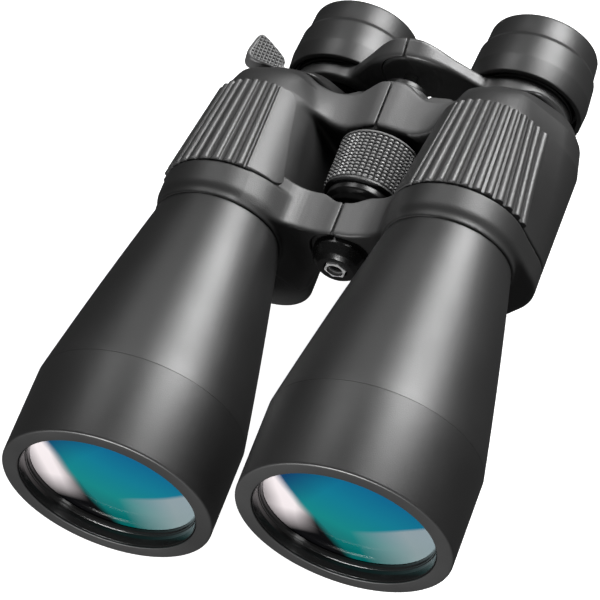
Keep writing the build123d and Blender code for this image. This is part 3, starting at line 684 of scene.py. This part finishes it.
def rear_covers(side, mirror):
    def cover(x, y, z):
        t = np.clip((y - COVER_LO.y) / (COVER_HI.y - COVER_LO.y), 0, 1)
        top, outer = 11.3 - 5.0 * t, 13.8 - 3.8 * t
        d = np.minimum(np.minimum(capsule(x, z, OBJ, COVER_OUTER, top, outer),
                                  capsule(x, z, COVER_OUTER, EYE, outer, COVER_EYE_R)),
                       np.minimum(capsule(x, z, EYE, OBJ, COVER_EYE_R, top),
                                  polygon(x, z, [OBJ, COVER_OUTER, EYE])))
        d = smax(d, np.maximum(COVER_LO.y - 1.5 - y, y - COVER_HI.y), 1.6)
        d = smax(d, rear_slope(y, z) + 1.2, 3.0)
        collar = np.sqrt((x - EYE[0]) ** 2 + (z - EYE[1]) ** 2)
        ends = np.maximum(COVER_LO.y - y, y - COVER_HI.y - 0.6)
        d = smin(d, smax(collar - COVER_COLLAR_R, ends, 0.8), 0.8)
        for sx, sz in COVER_SCREWS:
            d = smax(d, -smax(np.sqrt((x - sx) ** 2 + (z - sz) ** 2) - 2.0, COVER_HI.y - 2.6 - y, 0.2), 0.5)
        return smax(d, GUIDE.r + 0.1 - collar, 0.4)

    low, high = (18.0, COVER_LO.y - 2, COVER_LO.z), (64.0, COVER_HI.y + 1, COVER_HI.z + 1)
    finish_mesh(f"cover_{side}", *field_mesh(cover, low, high, 0.5), MATERIALS["plastic"], HALF[side],
                "moulded_black", [f"rear_cover_{side}"], sharp=180, mirror=mirror)


each_side(rear_covers)


HEAD_BORE_Y = 110.0     # where the ocular head's bore narrows around the eye lens


def turned_parts(side, mirror):
    for name, node, key, slot_name, body, corners in (
        ("guide_sleeve", "guide_tube", "anodised", "anodised_black", HALF[side],
         [(TUBE.r + 0.1, GUIDE.y0, 0), (GUIDE.r, GUIDE.y0, 0), (GUIDE.r, GUIDE.y1 - 1.0, 0.2),
          (GUIDE.r - 0.4, GUIDE.y1 - 0.9, 0.1), (GUIDE.r - 0.4, GUIDE.y1, 0.3), (TUBE.r + 0.1, GUIDE.y1, 0.2)]),
        ("eye_tube", "eyepiece_tube", "anodised", "anodised_black", ARM[side],
         [(12.0, TUBE.y0, 0.2), (TUBE.r, TUBE.y0, 0.4), (TUBE.r, TUBE.y1, 0.4), (12.0, TUBE.y1, 0.2)]),
        ("zoom_band", "zoom_ring", "plastic", "moulded_black", ZOOM[side],
         [(TUBE.r + 0.1, ZRING.y0, 0), (ZRING.r, ZRING.y0, 0.4), (ZRING.r, ZRING.y1, 0.4),
          (TUBE.r + 0.1, ZRING.y1, 0)]),
        ("eye_head", "ocular_head", "plastic", "moulded_black", OCULAR[side],
         [(15.1, HEAD.y0, 0), (HEAD.r, HEAD.y0, 0.3), (HEAD.r, HEAD.y1, 0.4), (15.6, HEAD.y1, 0.2),
          (15.2, HEAD.y1 - 0.5, 0.1), (14.4, HEAD.y1 - 0.5, 0.1), (14.0, HEAD.y1, 0.3), (11.4, HEAD.y1, 0.3),
          (10.2, HEAD.y1 - 0.8, 0.2), (10.2, HEAD.y1 - 1.5, 0), (11.5, HEAD.y1 - 1.5, 0),
          (11.5, HEAD_BORE_Y, 0), (15.1, HEAD_BORE_Y, 0)]),
        ("cup", "eyecup", "cup", "eyecup_rubber", OCULAR[side],
         [(20.2, CUP.y0, 0.6), (22.2, CUP.y0, 0.7), (22.75, CUP.y0 + 7.5, 6.0), (22.1, 111.8, 2.4),
          (21.15, 113.6, 2.2), (20.9, 116.5, 2.5), (20.5, CUP.y1, 2.2), (17.6, CUP.y1, 0.9),
          (17.5, HEAD.y1 + 0.9, 0.4), (16.4, HEAD.y1 + 0.1, 0.3), (HEAD.r - 1.6, HEAD.y1 + 0.05, 0),
          (HEAD.r - 1.6, HEAD.y1 + 0.02, 0),
          (HEAD.r + 0.05, HEAD.y1 + 0.02, 0), (HEAD.r + 0.05, HEAD.y0, 0), (20.2, HEAD.y0, 0.3)]),
    ):
        finish_mesh(f"{name}_{side}", *lathe(rounded(corners), EYE, 144), MATERIALS[key], body, slot_name,
                    [f"{node}_{side}"], mirror=mirror)


each_side(turned_parts)


# ---- eyepiece bridge ----------------------------------------------------------------------------
RING_R = 18.5
BRIDGE_OUTLINE = (curve([(EYE[0], EYE[1] + 15.0), (27.6, -4.6), (18.0, 3.6), (11.5, 9.3), (6.5, 12.2),
                         (3.0, 13.2), (0.0, 13.5)], 4)
                  + [(0.0, 0.0)] + curve([(5.0, -11.9), (14.5, -16.5), (EYE[0] - 14.7, EYE[1] - 8.5)])
                  + [(EYE[0], EYE[1] - 6.0)])


def bridges(side, mirror):
    arm_y = (BRIDGE_LO.y + 0.9, BRIDGE_HI.y - 1.3)

    def bridge(x, y, z):
        across = np.clip(np.abs(x), 0, 40)
        middle = 1.0 - smooth(across, 4.0, 18.0)
        low, high = arm_y[0] - 1.0 * middle, arm_y[1] + 1.0 * middle
        tilted = z - 0.22 * (y - 91.0) * middle
        d = smax(polygon(x, tilted, BRIDGE_OUTLINE), np.maximum(low - y, y - high), 1.6)
        d = smax(d, SPLIT - x, 0.5)
        reach = np.sqrt((x - EYE[0]) ** 2 + (z - EYE[1]) ** 2)
        ring = smax(reach - RING_R, np.maximum(arm_y[0] - y, y - arm_y[1]), 1.0)
        d = smin(d, ring, 3.0)
        d = smax(d, -smax(reach - GUIDE.r - 1.5, y - arm_y[0], 0.2), 0.2)
        d = smax(d, TUBE.r + 0.1 - reach, 0.5)
        return on_hinge(d, x, y, z, (BRIDGE_LO.y, BRIDGE_HI.y), mirror)

    low, high = (-KNUCKLE, BRIDGE_LO.y, BRIDGE_LO.z), (BRIDGE_HI.x, BRIDGE_HI.y, BRIDGE_HI.z)
    finish_mesh(f"bridge_arm_{side}", *field_mesh(bridge, low, high, 0.45), MATERIALS["paint"], ARM[side],
                "painted_bridge", [f"eyepiece_bridge_{side}"], sharp=180, mirror=mirror)


each_side(bridges)


# ---- focus wheel, tripod boss and hinge hardware ---------------------------------------------------
def focus_wheel():
    """Knurl of pyramids, each on a square of sub by sub faces, between two plain rims."""
    columns, rows, sub, height, rim, bore = 42, 13, 8, 0.95, 0.9, 13.1
    y0, y1 = WHEEL.y0, WHEEL.y1
    knurl = np.linspace(y0 + rim + 0.2, y1 - rim - 0.2, rows * sub + 1)
    v = (knurl - knurl[0]) / (knurl[-1] - knurl[0]) * rows
    base = WHEEL.r - height
    stations = [(bore, y0, None), (base - 0.2, y0, None), (base + 0.35, y0 + 0.25, None),
                (base + 0.4, y0 + rim, None)]
    stations += [(base, y, vv) for y, vv in zip(knurl, v)]
    stations += [(base + 0.2, y1 - rim, None), (WHEEL.r - 0.1, y1 - rim + 0.2, None),
                 (WHEEL.r, y1 - 0.25, None), (WHEEL.r - 0.3, y1, None), (bore, y1, None)]
    segments = columns * sub
    angles = np.arange(segments) * 2 * pi / segments
    u = np.arange(segments) / sub
    points = []
    for r, y, vv in stations:
        ring_r = np.full(segments, r)
        if vv is not None:
            du, dv = 1 - 2 * np.abs(u % 1 - 0.5), 1 - 2 * abs(vv % 1 - 0.5)
            ring_r = r + height * np.clip(1.7 * np.minimum(du, dv), 0, 1)
        points.append(np.stack([ring_r * np.cos(angles), np.full(segments, y), ring_r * np.sin(angles)], 1))
    faces = []
    count = len(stations)
    for i in range(count):
        for j in range(segments):
            k, m = (i + 1) % count, (j + 1) % segments
            faces.append((i * segments + j, k * segments + j, k * segments + m, i * segments + m))
    points = np.concatenate(points)
    finish_mesh("wheel_grip", points, orient(points, faces), MATERIALS["knurl"], "focus_wheel",
                "knurled_rubber", ["focus_grip_ring"], sharp=25)
    hub = rounded([(4.1, HUB.y0, 0.2), (10.2, HUB.y0, 1.2), (11.2, HUB.y0 + 1.6, 0.6),
                   (12.9, HUB.y0 + 3.0, 1.0), (12.9, HUB.y0 + 5.2, 0.3), (12.4, HUB.y0 + 5.5, 0.1),
                   (12.4, HUB.y0 + 6.0, 0.1), (13.0, HUB.y0 + 6.2, 0), (13.0, HUB.y1, 0.5), (4.1, HUB.y1, 0.2)])
    finish_mesh("wheel_hub", *lathe(hub, (0, 0), 144), MATERIALS["gloss"], "focus_wheel", "gloss_black",
                ["focus_hub"])


def hinge_hardware():
    cap = rounded([(4.4, BOSS.y0 + 0.1, 0.2), (6.6, BOSS.y0, 0.5), (8.4, 1.4, 2.0), (10.2, 4.6, 1.5),
                   (10.2, BOSS.y1 + 0.3, 0), (4.4, BOSS.y1 + 0.3, 0)])
    finish_mesh("tripod_boss", *lathe(cap, (0, 0), 144), MATERIALS["gloss"], "left_half", "gloss_black",
                ["tripod_cap"])
    corner, depth, pitch = 4.25, 9.5, 1.27
    bore = [(2.6 if k % 2 else 3.1, 0.9 + pitch / 2 * k, 0) for k in range(int(2 * (depth - 1) / pitch))]
    profile = rounded([(3.0, -0.5, 0)] + bore + [(2.6, depth, 0), (corner, depth, 0), (corner, -0.2, 0),
                                                 (corner - 0.3, -0.5, 0)])

    def hexagon(r, y, angles):
        if r < 3.6:
            return np.full(len(angles), r)
        flat = (angles + pi / 6) % (pi / 3) - pi / 6
        return r * cos(pi / 6) / np.cos(pi / 6 - np.abs(flat))

    finish_mesh("thread_insert", *lathe(profile, (0, 0), 144, hexagon), MATERIALS["insert"], "left_half",
                "bright_insert", ["tripod_insert"])
    nut = rounded([(4.1, NUT.y0, 0), (NUT.r, NUT.y0, 0.4), (NUT.r, NUT.y1, 0.8), (6.6, NUT.y1, 0.2),
                   (6.4, NUT.y1 - 0.6, 0.2), (4.1, NUT.y1 - 0.6, 0.2)])
    finish_mesh("axle_nut", *lathe(nut, (0, 0), 96), MATERIALS["black_steel"], "left_half", "black_steel",
                ["hinge_nut"])
    seat, top, cap_r = 95.2, BRIDGE_SCREW.y1, KNUCKLE - 1.0
    screw = rounded([(0, seat, 0), (cap_r, seat, 0), (cap_r, seat + 0.4, 1.2), (8.6, top - 0.4, 3.0),
                     (0, top, 0)], closed=False)
    finish_mesh("bridge_cap", *lathe(screw, (0, 0), 144), MATERIALS["paint"], "focus_carriage", "black_steel",
                ["bridge_screw"])


# ---- zoom lever, cover screws and eye lenses --------------------------------------------------------
# The lever's outlines are in a plane through the eyepiece's axis: distance from the axis, and Y.
LEVER_ANGLE, LEVER_HALF = radians(27.0), 3.4
FOOT = [(18.0, 91.4), (26.0, 91.4), (26.0, 93.7), (19.6, 93.7), (19.6, 98.0), (18.0, 98.0)]
TAB = curve([(24.3, 96.4), (24.2, 93.0), (25.4, 91.4), (29.0, 91.2), (34.5, 91.3), (37.6, 92.0), (38.9, 94.2),
             (38.5, 98.0), (37.4, 102.6), (36.0, 104.0), (33.8, 103.4), (29.5, 100.8), (25.6, 98.2),
             (24.3, 96.4)], 4)[:-1]
FACE = [(20.0, 96.5), (26.0, 92.2), (36.6, 92.6), (37.5, 94.4), (36.2, 103.0), (34.2, 104.6), (24.0, 99.0)]
CHEQUER, CHEQUER_HEIGHT = 1.4, 0.55
BAND_R = 18.65              # of the zoom band under the lever's foot


def zoom_lever():
    """Thumb lever: a foot under the skirt of the cup, and a tab with a chequered face and a raised border."""

    def field(u, y, w):
        tab = polygon(u, y, TAB)
        waist = LEVER_HALF + 0.3 * smooth(u, 24, 30)
        body = smax(tab, np.abs(w) - waist, 1.5)
        a, b = u / CHEQUER, y / CHEQUER
        peaks = np.minimum(1 - 2 * np.abs(a % 1 - 0.5), 1 - 2 * np.abs(b % 1 - 0.5))
        floor = waist - 0.75 + CHEQUER_HEIGHT * np.clip(1.6 * peaks, 0, 1)
        body = smax(body, -smax(polygon(u, y, FACE), floor - w, 0.15), 0.25)
        low = smax(polygon(u, y, FOOT), np.abs(w) - LEVER_HALF + 0.2, 0.5)
        d = smin(body, low, 0.8)
        return smax(d, BAND_R - np.sqrt(u * u + w * w), 0.2)

    points, faces = field_mesh(field, (18.0, 91.0, -3.9), (39.4, 104.6, 3.9), 0.2)
    u, y, w = points.T
    points = np.stack([-EYE[0] - u * cos(LEVER_ANGLE) + w * sin(LEVER_ANGLE), y,
                       EYE[1] + u * sin(LEVER_ANGLE) + w * cos(LEVER_ANGLE)], 1)
    finish_mesh("zoom_tab", points, orient(points, faces), MATERIALS["lever"], ZOOM["left"], "moulded_black",
                ["zoom_lever"], sharp=180)


def screws_and_lenses(side, mirror):
    head_y = COVER_HI.y - 3.5

    def screws(x, y, z):
        d = np.full(np.broadcast(x, y, z).shape, 9.0)
        for sx, sz in COVER_SCREWS:
            r = np.sqrt((x - sx) ** 2 + (z - sz) ** 2)
            head = smax(r - 1.85, np.maximum(head_y - y, y - head_y - 1.25 + 0.12 * r * r), 0.2)
            slot = np.minimum(np.maximum(np.abs(x - sx) - 0.22, np.abs(z - sz) - 1.0),
                              np.maximum(np.abs(z - sz) - 0.22, np.abs(x - sx) - 1.0))
            head = smax(head, -np.maximum(slot, head_y + 0.55 - y), 0.1)
            shank = smax(r - 0.95, np.maximum(HOUSE_HI.y + 0.2 - y, y - head_y - 0.2), 0.1)
            d = np.minimum(d, np.minimum(head, shank))
        return d

    (x0, z1), (x1, z0) = COVER_SCREWS
    low, high = (x0 - 2, HOUSE_HI.y, z0 - 2), (x1 + 2, head_y + 1.5, z1 + 2)
    finish_mesh(f"screws_{side}", *field_mesh(screws, low, high, 0.17), MATERIALS["black_steel"], HALF[side],
                "black_steel", [f"cover_screws_{side}"], sharp=180, mirror=mirror)
    dome, edge = 1.0, EYE_LENS.r - 0.05
    rear = [(edge * t, EYE_LENS.y1 - dome * t * t) for t in np.linspace(0, 1, 17)]
    front = [(edge * t, EYE_LENS.y0 + dome * t * t) for t in np.linspace(1, 0, 9)]
    finish_mesh(f"ocular_lens_{side}", *lathe(rear + front, EYE, 96), MATERIALS["eye_glass"], OCULAR[side],
                "coated_glass", [f"eye_lens_{side}"], mirror=mirror)


focus_wheel()
hinge_hardware()
zoom_lever()
each_side(screws_and_lenses)

# ---- CAD pieces that stay as they are, with their finishes -----------------------------------------
KEPT = {"coated_glass": "eye_glass", "clear_glass": "glass", "spring_steel": "spring",
        "black_steel": "black_steel", "shelf_aluminium": "aluminium", "anodised_black": "anodised",
        "moulded_black": "plastic"}
for part in frame["record"]["subparts"]:
    node = frame["nodes"][part["node"]]
    if node.hide_render:
        continue
    node.data.materials.clear()
    node.data.materials.append(MATERIALS[KEPT[part["material_slot"]]])


# ---- floor, light and camera ------------------------------------------------------------------------
FLOOR_REACH, FLOOR_DROP = 6.0, 0.019        # the drop leaves room for the half that folds down
LIGHTS = (
    # name, direction from the object, distance, width and height, power
    ("key", (0.52, 0.66, 0.52), 1.1, (0.55, 0.65), 17.0),
    ("top", (-0.30, 0.50, 0.81), 1.2, (0.40, 0.40), 2.4),
    ("fill_front", (-0.10, -0.97, 0.10), 1.8, (0.7, 0.5), 52.0),
    ("card", (0.87, -0.32, 0.25), 1.5, (0.30, 0.30), 1.5),
)
CAMERA_PLACE = (0.507806, -0.65578, 0.952526)
CAMERA_AZIMUTH, CAMERA_ELEVATION, CAMERA_ROLL = radians(38.83), radians(49.16), radians(-24.73)
CAMERA_LENS = 216.06


def studio():
    low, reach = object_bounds()[0], FLOOR_REACH
    floor_mesh = bpy.data.meshes.new("floor")
    floor_mesh.from_pydata([(-reach, -reach, 0), (reach, -reach, 0), (reach, reach, 0), (-reach, reach, 0)], [],
                           [(0, 1, 2, 3)])
    floor = bpy.data.objects.new("floor", floor_mesh)
    floor.location.z = low.z - FLOOR_DROP
    paper = Finish("floor_paper", (0.82, 0.82, 0.82), 0.9, spread=0.01, relief=0.02, cloud=3.0)
    paper.bsdf.inputs["Emission Color"].default_value = (1, 1, 1, 1)
    paper.bsdf.inputs["Emission Strength"].default_value = 0.85
    floor_mesh.materials.append(paper.m)
    bpy.context.scene.collection.objects.link(floor)
    floor.visible_glossy = False
    floor.visible_diffuse = False
    floor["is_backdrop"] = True

    world = bpy.data.worlds.new("studio")
    bpy.context.scene.world = world
    world.use_nodes = True
    nodes, links = world.node_tree.nodes, world.node_tree.links
    path = nodes.new("ShaderNodeLightPath").outputs["Is Camera Ray"]
    mix = nodes.new("ShaderNodeMapRange")
    links.new(path, mix.inputs["Value"])
    mix.inputs["To Min"].default_value, mix.inputs["To Max"].default_value = 0.06, 1.0
    links.new(mix.outputs["Result"], nodes["Background"].inputs["Strength"])
    nodes["Background"].inputs["Color"].default_value = (1, 1, 1, 1)

    for name, direction, distance, size, power in LIGHTS:
        light = bpy.data.lights.new(name, "AREA")
        light.shape, light.size, light.size_y, light.energy = "RECTANGLE", size[0], size[1], power
        lamp = bpy.data.objects.new(name, light)
        away = Vector(direction).normalized()
        lamp.location = away * distance
        lamp.rotation_mode = "QUATERNION"
        lamp.rotation_quaternion = away.to_track_quat("Z", "Y")
        bpy.context.scene.collection.objects.link(lamp)


def camera():
    azimuth, elevation, roll = CAMERA_AZIMUTH, CAMERA_ELEVATION, CAMERA_ROLL
    back = Vector((sin(azimuth) * cos(elevation), -cos(azimuth) * cos(elevation), sin(elevation)))
    right = Vector((cos(azimuth), sin(azimuth), 0))
    up = back.cross(right)
    side, top = cos(roll) * right + sin(roll) * up, cos(roll) * up - sin(roll) * right
    data = bpy.data.cameras.new("camera")
    data.sensor_width, data.lens = 36.0, CAMERA_LENS
    data.clip_start, data.clip_end = 0.05, 50.0
    cam = bpy.data.objects.new("camera", data)
    place = Matrix((side, top, back)).transposed().to_4x4()
    place.translation = Vector(CAMERA_PLACE)
    cam.matrix_world = place
    bpy.context.scene.collection.objects.link(cam)
    bpy.context.scene.camera = cam


studio()
camera()
bpy.context.scene.view_settings.view_transform = "Standard"
